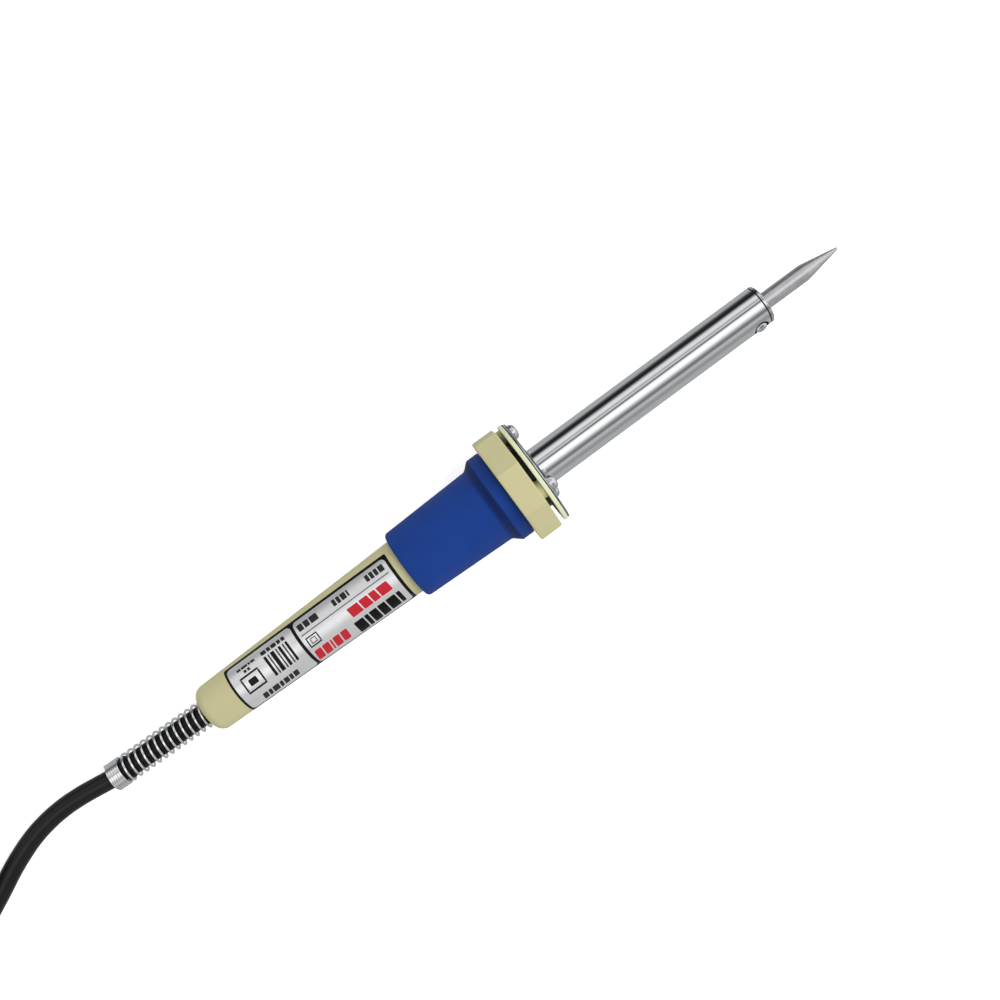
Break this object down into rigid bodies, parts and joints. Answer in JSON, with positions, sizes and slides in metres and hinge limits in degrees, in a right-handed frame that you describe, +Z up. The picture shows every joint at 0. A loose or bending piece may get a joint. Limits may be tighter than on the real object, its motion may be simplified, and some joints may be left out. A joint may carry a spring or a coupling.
{
  "type": "soldering iron",
  "caption": "Pencil soldering iron with plated conical tip, bright barrel, octagonal cream handle, blue grip, spring strain relief and a tied cord with plug.",
  "frame": {"origin": "under the middle of the tool without its free cord, on the surface it lies on", "axes": "+Z up; +X from the handle towards the tip, in the vertical plane of the axis; +Y to the side"},
  "size_m": [0.4375, 0.0528, 0.0333],
  "materials": {
    "tip_plating": "satin long-life plating, lightly brushed round",
    "plated_screw": "bright nickel plate",
    "bush_steel": "turned, fairly bright",
    "barrel_steel": "mirror-bright stainless tube",
    "flange_steel": "bright pressed sheet",
    "shield_steel": "rolled sheet",
    "insulating_board": "matt pale board",
    "cream_plastic": "semi-gloss moulding",
    "blue_grip": "satin",
    "label_foil": "printed metallised foil",
    "heated_steel": "heat-browned",
    "mica": "layered, translucent brown",
    "resistance_wire": "oxidised",
    "white_ceramic": "unglazed",
    "glass_fibre": "braided",
    "white_block": "moulded",
    "terminal_brass": "drawn",
    "copper": "bare copper strands",
    "core_insulation": "soft",
    "cord_black": "smooth, slightly glossy",
    "ferrule_aluminium": "crimped",
    "sleeve_rubber": "smooth",
    "spring_steel": "bright drawn wire",
    "tie_fabric": "woven hook-and-loop strap",
    "plug_rubber": "moulded",
    "plug_plastic": "moulded",
    "pin_nickel": "nickel-plated brass"
  },
  "bodies": {
    "iron": {"nose_bush": "bush_steel", "barrel_tube": "barrel_steel", "barrel_flange": "flange_steel", "heat_shield": "shield_steel", "insulating_disc": "insulating_board", "flange_screws": "plated_screw", "handle": "cream_plastic", "grip_sleeve": "blue_grip", "label": "label_foil", "core_tube": "heated_steel", "mica_inner": "mica", "heater_winding": "resistance_wire", "mica_outer": "mica", "lead_wires": "resistance_wire", "lead_beads": "white_ceramic", "lead_sleeves": "glass_fibre", "terminal_block": "white_block", "terminal_tubes": "terminal_brass", "terminal_screws": "plated_screw", "core_copper": "copper", "cord_cores": "core_insulation", "cord_inner": "cord_black", "cord_ferrule": "ferrule_aluminium", "relief_sleeve": "sleeve_rubber", "relief_spring": "spring_steel", "cord_lead": "cord_black", "cord_hank": "cord_black", "cord_tail": "cord_black", "hank_ties": "tie_fabric", "plug_relief": "plug_rubber", "plug_body": "plug_plastic", "plug_pins": "pin_nickel"},
    "tip": {"tip": "tip_plating"},
    "tip_screw": {"tip_screw": "plated_screw"}
  },
  "joints": [
    {"name": "tip_slide", "type": "slide", "parent": "iron", "child": "tip", "axis": [0.9961, 0, 0.0881], "range_m": [0, 0.045]},
    {"name": "tip_screw_turn", "type": "hinge", "parent": "iron", "child": "tip_screw", "pos_m": [0.09619, 0, 0.0237], "axis": [-0.0407, -0.887, 0.46], "range_deg": [0, 720]}
  ]
}
